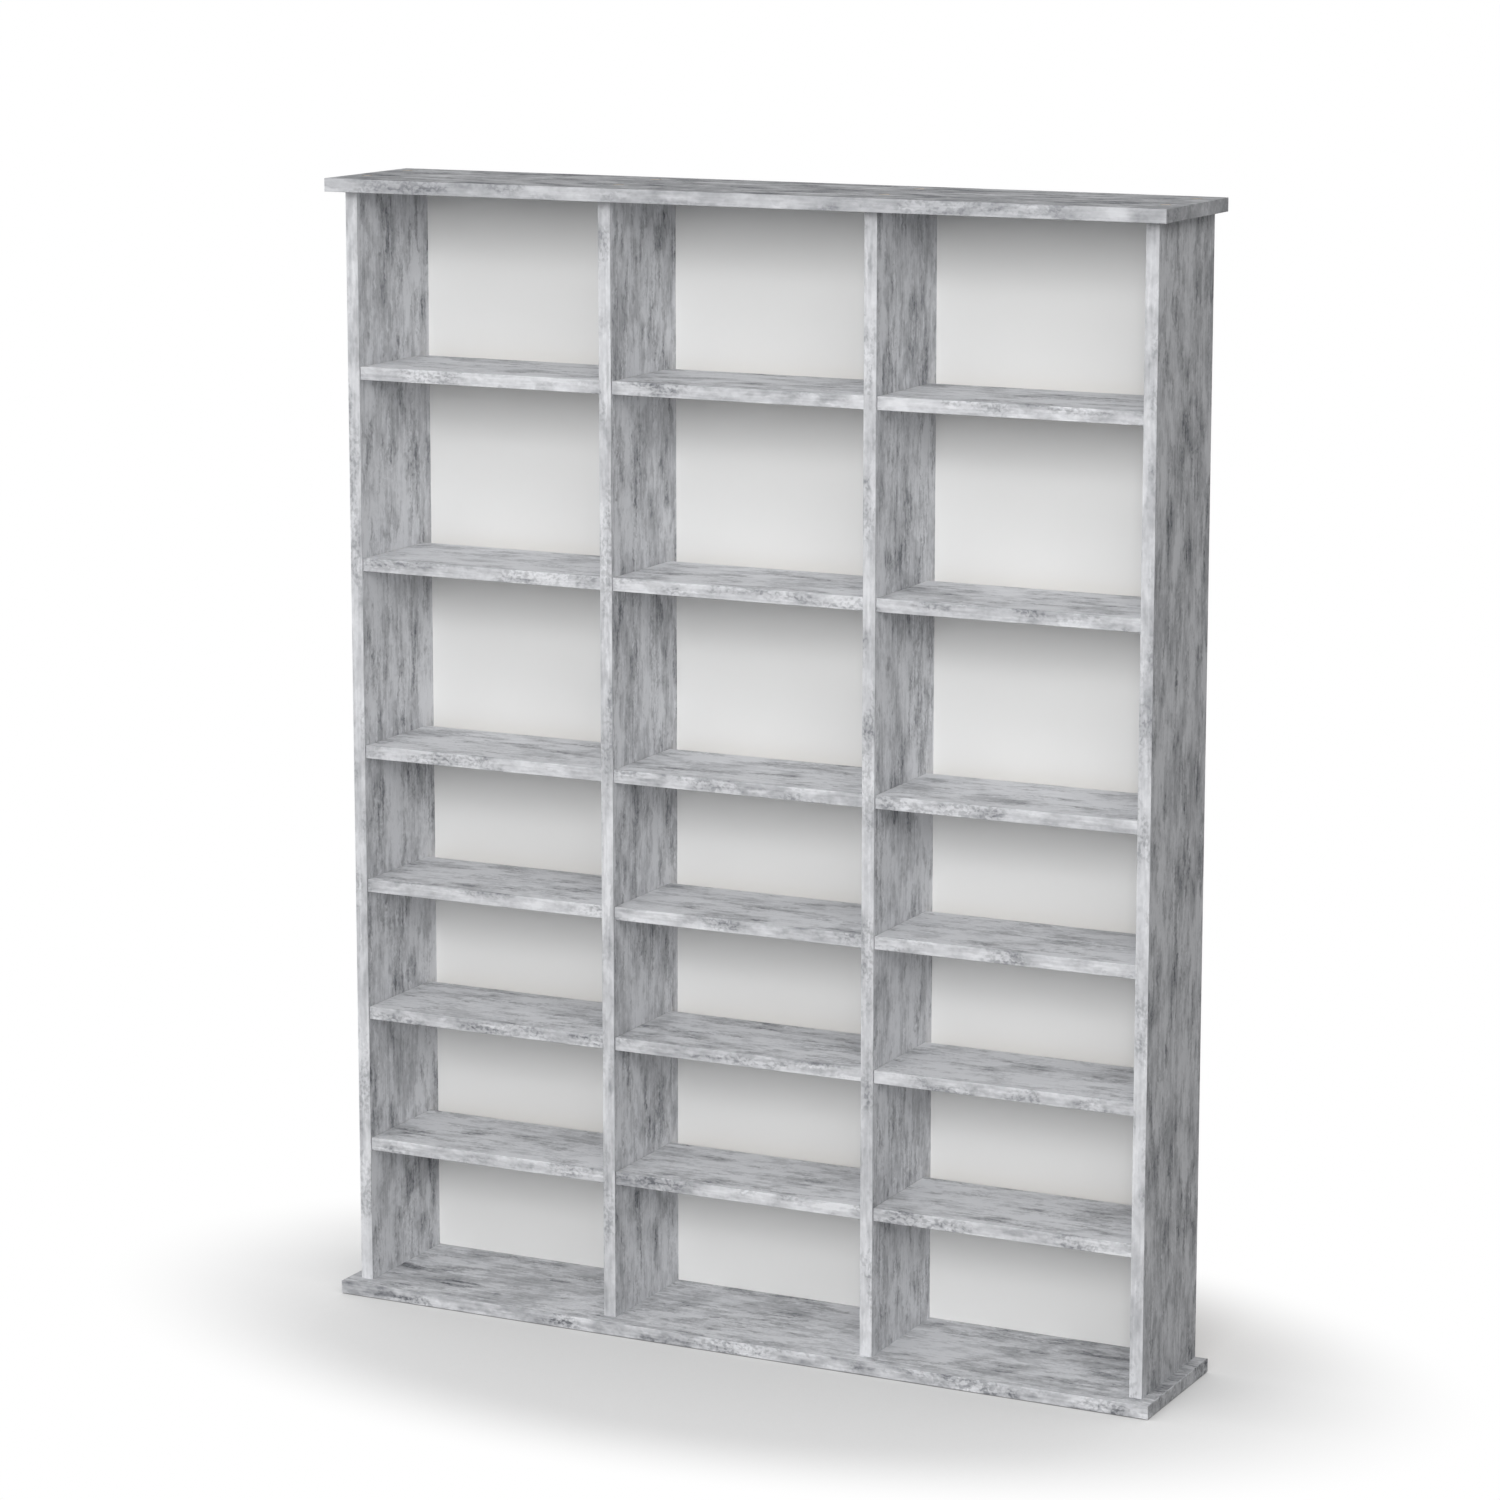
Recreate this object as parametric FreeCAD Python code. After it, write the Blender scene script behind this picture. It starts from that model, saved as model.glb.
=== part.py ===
import FreeCAD, Part
import os

from FreeCAD import Vector

# A free-standing rack for CD and DVD cases, built of faced chipboard: four
# uprights stand between a base board and a top board and make three equal
# columns, six loose shelves lie on steel pins in each column, and thin white
# fibreboard sheets close the back.
#
# Millimetres. +Z is up and the front faces -Y, so +X is on the right as the
# rack is looked at. The origin is the middle of the base board's underside.

# Carcass
carcass_width = 980.0
upright_height = 1270.0
upright_depth = 160.0
board_thickness = 15.0
front_overhang = 20.0
side_overhang = 15.0
column_names = ["left", "middle", "right"]

# Clear heights of the lower rows, for CD cases, from the bottom up
row_1_height = 156.0
row_2_height = 142.0
row_3_height = 136.0
row_4_height = 142.0

# How the upper rows, for DVD cases, share the height that the lower ones leave
upper_row_shares = [101, 102, 99]

# Edge bands, glued to the boards' visible edges
band_thickness = 1.0
band_rounding = 0.6

# Shelves
shelf_recess = 2.0
shelf_back_gap = 19.0
shelf_side_play = 0.5
shelf_seat_gap = 0.3

# Back sheets, let into a rebate of the side panels and behind the dividers
sheet_thickness = 3.0
sheet_play = 0.3
rebate_width = 8.0

# Radial room of pins, dowels, screws and nails in their bores, and the room
# past their ends
bore_room = 0.05
bore_end_room = 0.5

# Shelf pins
pin_diameter = 5.0
pin_length = 15.0
pin_depth_in_board = 7.0
pin_inset = 35.0
pin_chamfer = 0.6

# Wooden dowels between uprights and boards
dowel_diameter = 8.0
dowel_length = 30.0
dowel_depth_in_board = 10.0
dowel_chamfer = 1.0

# One-piece connector screws through the base and top boards
screw_length = 50.0
screw_inset = 35.0
screw_head_diameter = 10.0
screw_rim_height = 1.0
screw_cone_height = 3.0
screw_neck_diameter = 7.0
screw_neck_length = 12.0
thread_diameter = 6.8
thread_core_diameter = 4.6
thread_pitch = 3.0
screw_tip_diameter = 2.0
socket_width = 4.0
socket_depth = 3.0
base_head_sink = 0.5

# Caps that cover the screw heads in the top board
cap_diameter = 12.0
cap_thickness = 1.2
cap_sink = 0.2
cap_rounding = 0.3
cap_stem_diameter = 3.6
cap_stem_length = 2.2

# Nails that hold the back sheets
nails_per_edge = 9
nail_diameter = 1.4
nail_length = 16.0
nail_head_diameter = 3.2
nail_head_height = 0.6
nail_edge_distance = 4.0
nail_end_distance = 35.0

# Places worked out from the sizes above
overall_width = carcass_width + 2 * side_overhang
overall_depth = upright_depth + front_overhang
board_front = -overall_depth / 2
rear = overall_depth / 2
upright_front = board_front + front_overhang
sheet_front = rear - sheet_thickness
base_top = board_thickness
top_underside = base_top + upright_height
overall_height = top_underside + board_thickness
column_count = len(column_names)
column_width = (carcass_width - (column_count + 1) * board_thickness) / column_count
upright_pitch = column_width + board_thickness
upright_lefts = [i * upright_pitch - carcass_width / 2 for i in range(column_count + 1)]
upright_centres = [left + board_thickness / 2 for left in upright_lefts]

shelf_front = upright_front + shelf_recess
shelf_rear = sheet_front - shelf_back_gap
lower_row_heights = [row_1_height, row_2_height, row_3_height, row_4_height]
shelf_count = len(lower_row_heights) + len(upper_row_shares) - 1
height_left = upright_height - sum(lower_row_heights) - shelf_count * board_thickness
upper_row_heights = [height_left * share / sum(upper_row_shares) for share in upper_row_shares]
shelf_undersides = []
row_floor = base_top
for row_height in lower_row_heights + upper_row_heights[:-1]:
    shelf_undersides.append(row_floor + row_height)
    row_floor = row_floor + row_height + board_thickness

pin_places = [shelf_front + pin_inset, shelf_rear - pin_inset]
pin_drop = shelf_seat_gap + pin_diameter / 2
screw_places = [upright_front + screw_inset, rear - screw_inset]
dowel_place = upright_front + upright_depth / 2
top_head_sink = cap_sink + cap_thickness

UP = Vector(0, 0, 1)
DOWN = Vector(0, 0, -1)
LEFT = Vector(-1, 0, 0)
RIGHT = Vector(1, 0, 0)
FORWARD = Vector(0, -1, 0)


def block(x_range, y_range, z_range):
    """A box between two values on each axis."""
    size = [high - low for low, high in (x_range, y_range, z_range)]
    return Part.makeBox(*size, Vector(x_range[0], y_range[0], z_range[0]))


def edge_band(x_range, y_range, z_range, outward):
    """A strip of edge band whose two long edges on the outward side are rounded."""
    strip = block(x_range, y_range, z_range)
    lengthwise = sorted(strip.Edges, key=lambda edge: edge.Length)[-4:]
    outer = sorted(lengthwise, key=lambda edge: edge.CenterOfMass.dot(outward))[-2:]
    return strip.makeFillet(min(band_rounding, band_thickness), outer)


def chamfered_rod(diameter, length, chamfer, start, direction):
    """A rod from start along direction with both ends chamfered."""
    rod = Part.makeCylinder(diameter / 2, length, start, direction)
    rims = [edge for edge in rod.Edges if edge.Closed]
    return rod.makeChamfer(chamfer, rims)


def bore(diameter, depth, mouth, direction):
    """The space of a plain bore that starts at its mouth."""
    return Part.makeCylinder(diameter / 2, depth, mouth, direction)


def turned(outline):
    """A solid turned about the Z axis from an outline of (radius, height) points."""
    points = [Vector(radius, 0, height) for radius, height in outline]
    face = Part.Face(Part.makePolygon(points + points[:1]))
    return face.revolve(Vector(0, 0, 0), UP, 360)


def placed(shape, place, upside_down=False):
    """A copy of a shape made at the origin, turned over if asked, and moved to its place."""
    copy = shape.copy()
    if upside_down:
        copy.rotate(Vector(0, 0, 0), RIGHT, 180)
    copy.translate(place)
    return copy


def upright_places(places):
    """Every upright's centre line combined with the given places along the depth."""
    return [(x, y) for x in upright_centres for y in places]


# Screws. A screw is made with its head's face at height zero and its tip down.

def connector_screw():
    """A countersunk head, a plain neck and a coarse thread cut as rings, with a hex socket."""
    head = screw_head_diameter / 2
    neck = screw_neck_diameter / 2
    core = thread_core_diameter / 2
    crest = thread_diameter / 2
    cone_end = screw_rim_height + screw_cone_height
    outline = [(0, 0), (head, 0), (head, -screw_rim_height), (neck, -cone_end)]
    outline.append((neck, -cone_end - screw_neck_length))
    depth = cone_end + screw_neck_length
    outline.append((core, -depth))
    while depth + 2 * thread_pitch < screw_length:
        outline.append((core, -depth - thread_pitch / 2))
        outline.append((crest, -depth - thread_pitch))
        depth = depth + thread_pitch
    outline.append((core, -depth - thread_pitch / 2))
    outline.append((screw_tip_diameter / 2, -screw_length))
    outline.append((0, -screw_length))
    corners = []
    for i in range(6):
        turn = FreeCAD.Rotation(UP, 60 * i)
        corners.append(turn.multVec(Vector(socket_width / 3 ** 0.5, 0, 0)))
    socket = Part.Face(Part.makePolygon(corners + corners[:1])).extrude(DOWN * socket_depth)
    return turned(outline).cut(socket)


def screw_seat(head_sink):
    """The space that a screw and what covers it take in a board whose outer face is at height zero."""
    head = screw_head_diameter / 2 + bore_room
    neck = screw_neck_diameter / 2 + bore_room
    rim_end = head_sink + screw_rim_height
    cone_end = rim_end + screw_cone_height
    outline = [(0, 0), (head, 0), (head, -rim_end), (neck, -cone_end)]
    outline = outline + [(neck, -board_thickness), (0, -board_thickness)]
    return turned(outline)


def cap_recess():
    """The shallow recess of a cover cap below a face at height zero."""
    return bore(cap_diameter + 2 * bore_room, top_head_sink, Vector(0, 0, 0), DOWN)


def cover_cap():
    """A thin round cap with a stem for the screw's socket, its face at height zero."""
    disc = Part.makeCylinder(cap_diameter / 2, cap_thickness, Vector(0, 0, 0), DOWN)
    rims = [edge for edge in disc.Edges if edge.Closed]
    top_rim = max(rims, key=lambda edge: edge.CenterOfMass.z)
    disc = disc.makeFillet(min(cap_rounding, cap_thickness / 2), [top_rim])
    stem = Part.makeCylinder(cap_stem_diameter / 2, cap_stem_length, DOWN * cap_thickness, DOWN)
    return disc.fuse(stem).removeSplitter()


def end_bores(mouth_height, direction, head_sink):
    """Bores for screws and dowels in the uprights' ends, all uprights together."""
    screw_reach = screw_length + head_sink - board_thickness + bore_end_room
    dowel_reach = dowel_length - dowel_depth_in_board + bore_end_room
    fittings = [(screw_places, screw_neck_diameter, screw_reach)]
    fittings.append(([dowel_place], dowel_diameter, dowel_reach))
    bores = []
    for places, diameter, reach in fittings:
        for x, y in upright_places(places):
            bores.append(bore(diameter + 2 * bore_room, reach, Vector(x, y, mouth_height), direction))
    return bores


# Nails. One row of nails follows each upright edge of each back sheet.

def sheet_range(column):
    """Where a column's back sheet begins and ends along X."""
    left = upright_centres[column] + sheet_play / 2
    right = upright_centres[column + 1] - sheet_play / 2
    if column == 0:
        left = upright_lefts[0] + board_thickness - rebate_width + sheet_play
    if column == column_count - 1:
        right = upright_lefts[-1] + rebate_width - sheet_play
    return left, right


def nail_points():
    """The nails' heads on the rear plane, for all sheets."""
    first = base_top + nail_end_distance
    step = (upright_height - 2 * nail_end_distance) / (nails_per_edge - 1)
    points = []
    for column in range(column_count):
        left, right = sheet_range(column)
        for x in (left + nail_edge_distance, right - nail_edge_distance):
            for i in range(nails_per_edge):
                points.append(Vector(x, rear, first + i * step))
    return points


def nail_bores():
    """The space of every nail, head and shank, with room round it."""
    bores = []
    for point in nail_points():
        bores.append(bore(nail_head_diameter + 2 * bore_room, nail_head_height, point, FORWARD))
        bores.append(bore(nail_diameter + 2 * bore_room, nail_length + bore_end_room, point, FORWARD))
    return bores


def pin_bores():
    """Bores for the shelf pins: blind in the side panels, right through the dividers."""
    depth = pin_depth_in_board + bore_end_room
    diameter = pin_diameter + 2 * bore_room
    bores = []
    for underside in shelf_undersides:
        for y in pin_places:
            height = underside - pin_drop
            left_mouth = Vector(upright_lefts[0] + board_thickness, y, height)
            right_mouth = Vector(upright_lefts[-1], y, height)
            bores.append(bore(diameter, depth, left_mouth, LEFT))
            bores.append(bore(diameter, depth, right_mouth, RIGHT))
            for left in upright_lefts[1:-1]:
                bores.append(bore(diameter, board_thickness, Vector(left, y, height), RIGHT))
    return bores


def within(tools, solid):
    """The tools whose boxes meet the solid's box, so that a cut tries no others."""
    return [tool for tool in tools if tool.BoundBox.intersect(solid.BoundBox)]


# Boards

def horizontal_board(z_range):
    """The base or top board before it is bored, and its three edge bands."""
    half_width = overall_width / 2
    core_half_width = half_width - band_thickness
    core_front = board_front + band_thickness
    core = block((-core_half_width, core_half_width), (core_front, rear), z_range)
    bands = [edge_band((-half_width, half_width), (board_front, core_front), z_range, FORWARD)]
    bands.append(edge_band((-half_width, -core_half_width), (core_front, rear), z_range, LEFT))
    bands.append(edge_band((core_half_width, half_width), (core_front, rear), z_range, RIGHT))
    return core, Part.Compound(bands)


def base_board():
    """The base board, bored from below for the screws and from above for the dowels."""
    core, bands = horizontal_board((0, base_top))
    seat = screw_seat(base_head_sink)
    tools = [placed(seat, Vector(x, y, 0), True) for x, y in upright_places(screw_places)]
    depth = dowel_depth_in_board + bore_end_room
    for x, y in upright_places([dowel_place]):
        tools.append(bore(dowel_diameter + 2 * bore_room, depth, Vector(x, y, base_top), DOWN))
    return core.cut(tools), bands


def top_board():
    """The top board, bored from above for the screws and their caps and from below for the dowels."""
    core, bands = horizontal_board((top_underside, overall_height))
    seat = screw_seat(top_head_sink).fuse(cap_recess())
    tools = [placed(seat, Vector(x, y, overall_height)) for x, y in upright_places(screw_places)]
    depth = dowel_depth_in_board + bore_end_room
    for x, y in upright_places([dowel_place]):
        tools.append(bore(dowel_diameter + 2 * bore_room, depth, Vector(x, y, top_underside), UP))
    return core.cut(tools), bands


def upright(index, bores):
    """A side panel or divider and its front edge band. Side panels carry the rebate."""
    left = upright_lefts[index]
    right = left + board_thickness
    heights = (base_top, top_underside)
    core_front = upright_front + band_thickness
    is_side = index in (0, column_count)
    core = block((left, right), (core_front, rear if is_side else sheet_front), heights)
    if is_side:
        inner = (right - rebate_width, right) if index == 0 else (left, left + rebate_width)
        core = core.cut(block(inner, (sheet_front, rear), heights))
    band = edge_band((left, right), (upright_front, core_front), heights, FORWARD)
    return core.cut(within(bores, core)), band


def shelf(column, underside):
    """A loose shelf and its front edge band."""
    left = upright_lefts[column] + board_thickness + shelf_side_play
    right = upright_lefts[column + 1] - shelf_side_play
    heights = (underside, underside + board_thickness)
    core_front = shelf_front + band_thickness
    core = block((left, right), (core_front, shelf_rear), heights)
    return core, edge_band((left, right), (shelf_front, core_front), heights, FORWARD)


def back_sheet(column, bores):
    """A column's back sheet, with the holes of its nails."""
    heights = (base_top + sheet_play, top_underside - sheet_play)
    sheet = block(sheet_range(column), (sheet_front, rear), heights)
    return sheet.cut(within(bores, sheet))


# Groups of like fittings

def shelf_pins():
    """Four pins under every shelf, pushed into the uprights on both sides of it."""
    pins = []
    for column in range(column_count):
        left_face = upright_lefts[column] + board_thickness
        right_face = upright_lefts[column + 1]
        for underside in shelf_undersides:
            for y in pin_places:
                height = underside - pin_drop
                left_start = Vector(left_face - pin_depth_in_board, y, height)
                right_start = Vector(right_face + pin_depth_in_board, y, height)
                pins.append(chamfered_rod(pin_diameter, pin_length, pin_chamfer, left_start, RIGHT))
                pins.append(chamfered_rod(pin_diameter, pin_length, pin_chamfer, right_start, LEFT))
    return Part.Compound(pins)


def wooden_dowels():
    """One dowel at each end of each upright."""
    dowels = []
    for x, y in upright_places([dowel_place]):
        low_start = Vector(x, y, base_top - dowel_depth_in_board)
        high_start = Vector(x, y, top_underside + dowel_depth_in_board)
        dowels.append(chamfered_rod(dowel_diameter, dowel_length, dowel_chamfer, low_start, UP))
        dowels.append(chamfered_rod(dowel_diameter, dowel_length, dowel_chamfer, high_start, DOWN))
    return Part.Compound(dowels)


def base_board_screws():
    """Two screws up through the base board into each upright."""
    screw = connector_screw()
    places = upright_places(screw_places)
    return Part.Compound([placed(screw, Vector(x, y, base_head_sink), True) for x, y in places])


def top_board_screws():
    """Two screws down through the top board into each upright."""
    screw = connector_screw()
    height = overall_height - top_head_sink
    return Part.Compound([placed(screw, Vector(x, y, height)) for x, y in upright_places(screw_places)])


def screw_cover_caps():
    """A cap over each screw in the top board."""
    cap = cover_cap()
    height = overall_height - cap_sink
    return Part.Compound([placed(cap, Vector(x, y, height)) for x, y in upright_places(screw_places)])


def back_sheet_nails():
    """Flat-headed nails, their heads flush with the rear plane."""
    nails = []
    for point in nail_points():
        head = Part.makeCylinder(nail_head_diameter / 2, nail_head_height, point, FORWARD)
        shank = Part.makeCylinder(nail_diameter / 2, nail_length, point, FORWARD)
        nails.append(head.fuse(shank).removeSplitter())
    return Part.Compound(nails)


def make_nodes():
    """Every sub-part under its node name."""
    nodes = {}
    nodes["base_board"], nodes["base_board_edge_bands"] = base_board()
    nodes["top_board"], nodes["top_board_edge_bands"] = top_board()

    all_nail_bores = nail_bores()
    bores = all_nail_bores + pin_bores()
    bores = bores + end_bores(base_top, UP, base_head_sink)
    bores = bores + end_bores(top_underside, DOWN, top_head_sink)
    upright_names = ["left_side_panel", "left_divider", "right_divider", "right_side_panel"]
    for index, name in enumerate(upright_names):
        nodes[name], nodes[name + "_edge_band"] = upright(index, bores)

    for column, column_name in enumerate(column_names):
        nodes[column_name + "_back_sheet"] = back_sheet(column, all_nail_bores)
        for row, underside in enumerate(shelf_undersides, start=1):
            name = f"{column_name}_shelf_{row}"
            nodes[name], nodes[name + "_edge_band"] = shelf(column, underside)

    nodes["shelf_pins"] = shelf_pins()
    nodes["wooden_dowels"] = wooden_dowels()
    nodes["base_board_screws"] = base_board_screws()
    nodes["top_board_screws"] = top_board_screws()
    nodes["screw_cover_caps"] = screw_cover_caps()
    nodes["back_sheet_nails"] = back_sheet_nails()
    return nodes


os.makedirs("parts", exist_ok=True)
for node_name, node_shape in make_nodes().items():
    node_shape.exportStep("parts/" + node_name + ".step")
    solids = node_shape.Solids
    print(node_name, len(solids), "solids, valid", all(solid.isValid() for solid in solids))
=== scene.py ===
"""Looks of a free-standing rack for CD and DVD cases, in metres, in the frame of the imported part.

The boards, their edge bands and the back sheets keep their own meshes and get their finishes
here. Shelf pins, dowels, screws, cover caps and nails are made anew, with the shapes that
turning, fluting, thread rolling, moulding and heading leave.
"""

import math
from typing import NamedTuple

import bpy
import numpy as np
from bpy.props import FloatProperty, FloatVectorProperty, IntProperty, PointerProperty
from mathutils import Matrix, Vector


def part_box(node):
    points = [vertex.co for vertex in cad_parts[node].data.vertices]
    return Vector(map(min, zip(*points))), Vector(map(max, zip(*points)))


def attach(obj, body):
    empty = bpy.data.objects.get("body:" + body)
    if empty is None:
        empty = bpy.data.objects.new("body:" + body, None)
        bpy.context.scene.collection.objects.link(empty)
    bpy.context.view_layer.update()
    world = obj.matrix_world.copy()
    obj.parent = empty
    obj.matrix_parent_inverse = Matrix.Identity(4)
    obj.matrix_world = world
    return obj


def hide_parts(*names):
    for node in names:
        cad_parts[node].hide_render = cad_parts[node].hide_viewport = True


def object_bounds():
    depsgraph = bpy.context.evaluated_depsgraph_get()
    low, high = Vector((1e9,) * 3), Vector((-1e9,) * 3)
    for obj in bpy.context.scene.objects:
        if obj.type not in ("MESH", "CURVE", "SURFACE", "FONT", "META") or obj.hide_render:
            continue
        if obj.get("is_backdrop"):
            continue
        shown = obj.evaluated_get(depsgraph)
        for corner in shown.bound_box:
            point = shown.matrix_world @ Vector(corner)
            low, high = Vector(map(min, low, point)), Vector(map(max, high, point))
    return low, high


bl_info = {
    "name": "CD and DVD rack",
    "version": (1, 0, 0),
    "blender": (4, 5, 0),
    "location": "3D View > Sidebar > Rack",
    "description": "Finishes and fittings of a free-standing rack for CD and DVD cases",
    "category": "Object",
}

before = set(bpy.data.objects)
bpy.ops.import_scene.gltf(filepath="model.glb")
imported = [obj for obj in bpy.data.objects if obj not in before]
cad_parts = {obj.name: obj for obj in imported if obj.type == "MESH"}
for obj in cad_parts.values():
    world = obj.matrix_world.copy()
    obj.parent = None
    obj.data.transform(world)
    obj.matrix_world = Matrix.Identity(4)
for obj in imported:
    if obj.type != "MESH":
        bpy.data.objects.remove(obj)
cad_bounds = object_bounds()

MM = 0.001
X, Y, Z = 0, 1, 2

# Names of the part's nodes
CARCASS = "carcass"
COLUMNS = ("left", "middle", "right")
ROWS = range(1, 7)
SHELVES = [[f"{column}_shelf_{row}" for row in ROWS] for column in COLUMNS]
UPRIGHTS = ("left_side_panel", "left_divider", "right_divider", "right_side_panel")
BACK_SHEETS = [f"{column}_back_sheet" for column in COLUMNS]


def linear_colour(hex_value):
    """An sRGB hex value as linear red, green and blue, with an alpha of 1."""
    channels = [int(hex_value[i : i + 2], 16) / 255 for i in (0, 2, 4)]
    linear = [c / 12.92 if c <= 0.04045 else ((c + 0.055) / 1.055) ** 2.4 for c in channels]
    return (*linear, 1.0)


def colour(name, description, hex_value):
    """A colour that a user can change, with its default as an sRGB hex value."""
    return FloatVectorProperty(
        name=name,
        description=description,
        subtype="COLOR",
        size=4,
        min=0,
        max=1,
        default=linear_colour(hex_value),
    )


def length(name, description, millimetres):
    """A length that a user can change, with its default in millimetres."""
    return FloatProperty(
        name=name,
        description=description,
        unit="LENGTH",
        subtype="DISTANCE",
        min=0,
        default=millimetres * MM,
    )


class RackDecor(bpy.types.PropertyGroup):
    """The weathered print on the boards and on their edge bands."""

    pale: colour("Pale grey", "Lightest tone of the print", "DADBDE")
    dark: colour("Dark grain", "Darkest tone of the print", "686A6F")
    wash: colour("White wash", "Rubbed white on top of the print", "E6E7EA")
    grain_relief: length("Grain relief", "Depth of the pressed grain", 0.06)


class RackFinishes(bpy.types.PropertyGroup):
    """Colours of everything but the print."""

    chip: colour("Pale chips", "Wood chips of the raw board edges", "C9B597")
    chip_dark: colour("Dark chips", "Bark and dark chips of the raw board edges", "93806A")
    lacquer: colour("White lacquer", "Front of the back sheets", "E6E6E5")
    fibre: colour("Raw fibreboard", "Rear and edges of the back sheets", "A37E55")
    fibre_dark: colour("Dark fibres", "Fibres in the raw fibreboard", "7C5C3A")
    zinc: colour("Zinc", "Zinc plating of pins, screws and nails", "C6C9CC")
    zinc_dull: colour("Dull zinc", "Dull areas of the zinc plating", "B3B6B9")
    beech: colour("Beech", "Dowel wood", "D9B58C")
    beech_ray: colour("Beech rays", "Short dark flecks in the dowel wood", "BC9263")
    cap: colour("Cap plastic", "Cover caps in the top board", "B4B6B9")
    cap_shade: colour("Cap plastic, shaded", "Hollows of the caps' fine texture", "A9ABAE")


class RackFittings(bpy.types.PropertyGroup):
    """Sizes of the small fittings that their nodes' boxes don't give."""

    pin_length: length("Pin length", "Shelf pins", 15.0)
    pin_diameter: length("Pin diameter", "Shelf pins", 5.0)
    pin_rounding: length("Pin rounding", "Rounding of both ends of a shelf pin", 0.6)
    flute_count: IntProperty(name="Flutes", description="Glue flutes round a dowel", default=16)
    flute_depth: length("Flute depth", "Depth of a dowel's glue flutes", 0.35)
    dowel_length: length("Dowel length", "Wooden dowels", 30.0)
    dowel_chamfer: length("Dowel chamfer", "Chamfer of a dowel's ends", 1.0)
    screw_head: length("Screw head", "Diameter of a screw's head", 10.0)
    screw_neck: length("Screw neck", "Diameter of a screw's plain neck", 7.0)
    screw_neck_length: length("Screw neck length", "Plain neck below the head", 12.0)
    screw_rim: length("Screw rim", "Height of the head's straight rim", 1.0)
    screw_cone: length("Screw cone", "Height of the head's countersunk cone", 3.0)
    screw_edge: length("Screw edge", "Broken edges of the head and of its socket", 0.25)
    screw_tip: length("Screw tip", "Diameter of the blunt tip", 2.0)
    tip_length: length("Tip length", "Taper behind the blunt tip", 2.5)
    thread_crest: length("Thread crest", "Outer diameter of the thread", 6.8)
    thread_core: length("Thread core", "Core diameter of the thread", 4.6)
    thread_pitch: length("Thread pitch", "Rise of the thread in one turn", 3.0)
    socket_width: length("Socket width", "Width across the flats of the hex socket", 4.0)
    socket_depth: length("Socket depth", "Depth of the hex socket", 3.0)
    cap_diameter: length("Cap diameter", "Cover caps", 12.0)
    cap_thickness: length("Cap thickness", "Thickness of a cap's disc", 1.2)
    cap_crown: length("Cap crown", "How far a cap's middle stands over its rim", 0.12)
    cap_rounding: length("Cap rounding", "Rounding of a cap's rim", 0.3)
    cap_stem: length("Cap stem", "Diameter of a cap's cross-shaped stem", 3.6)
    nail_head: length("Nail head", "Diameter of a nail's head", 3.2)
    nail_head_height: length("Nail head height", "Thickness of a nail's head", 0.6)
    nail_shank: length("Nail shank", "Diameter of a nail's shank", 1.4)
    nail_edge: length("Nail edge", "Broken edge of a nail's head", 0.12)
    grip_depth: length("Grip marks", "Depth of the grooves below a nail's head", 0.06)
    grip_pitch: length("Grip pitch", "From one groove to the next", 0.55)
    grip_count: IntProperty(name="Grip marks", description="Grooves below a nail's head", default=5)
    nail_point: length("Nail point", "Length of the four-sided point", 2.4)
    nail_edge_distance: length("Nail edge distance", "From a sheet's edge to its nails", 4.0)
    nails_per_edge: IntProperty(name="Nails", description="Nails along each sheet edge", default=9)


class RackStage(bpy.types.PropertyGroup):
    """Floor, light and camera."""

    floor: colour("Floor", "Tone of the floor in the light it throws back", "B0B0B0")
    floor_shade: colour("Floor in view", "What the lamps add to the floor in view", "A5A5A5")
    floor_drop: length("Floor drop", "Floor below the base board", 0.8)
    shade_width: length("Shade width", "Half the width of the floor's shaded oval", 850.0)
    shade_depth: length("Shade depth", "Half the depth of the floor's shaded oval", 500.0)
    ambient: FloatProperty(name="Ambient", description="Light from all round", default=0.1)
    lens: FloatProperty(name="Lens", description="Focal length", unit="CAMERA", default=112.5)


# Materials

# A surface faces an axis where the object normal's part on that axis is more than this
SQUARE_ON = 0.7


def add(tree, kind, inputs=None, **attributes):
    """Adds a node with its settings and inputs. An input goes by its number or by its name among
    the sockets in use, and takes a value, a socket or a node's first output in use."""
    node = tree.nodes.new(kind)
    for name, value in attributes.items():
        setattr(node, name, value)
    for key, value in (inputs or {}).items():
        in_use = [socket for socket in node.inputs if socket.enabled and socket.name == key]
        socket = in_use[0] if in_use else node.inputs[key]
        if isinstance(value, bpy.types.Node):
            value = next(output for output in value.outputs if output.enabled)
        if isinstance(value, bpy.types.NodeSocket):
            tree.links.new(value, socket)
        else:
            socket.default_value = value
    return node


def start_material(name):
    """A material without nodes, its node tree, and the place on the object in millimetres."""
    material = bpy.data.materials.new(name)
    material.use_nodes = True
    tree = material.node_tree
    tree.nodes.clear()
    coordinates = add(tree, "ShaderNodeTexCoord")
    inputs = {0: coordinates.outputs["Object"], "Scale": 1 / MM}
    place = add(tree, "ShaderNodeVectorMath", inputs, operation="SCALE")
    return material, tree, place


def facing(tree, axis):
    """How far the surface faces along an axis of the object, from -1 to 1."""
    coordinates = add(tree, "ShaderNodeTexCoord")
    parts = add(tree, "ShaderNodeSeparateXYZ", {0: coordinates.outputs["Normal"]})
    return parts.outputs[axis]


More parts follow.
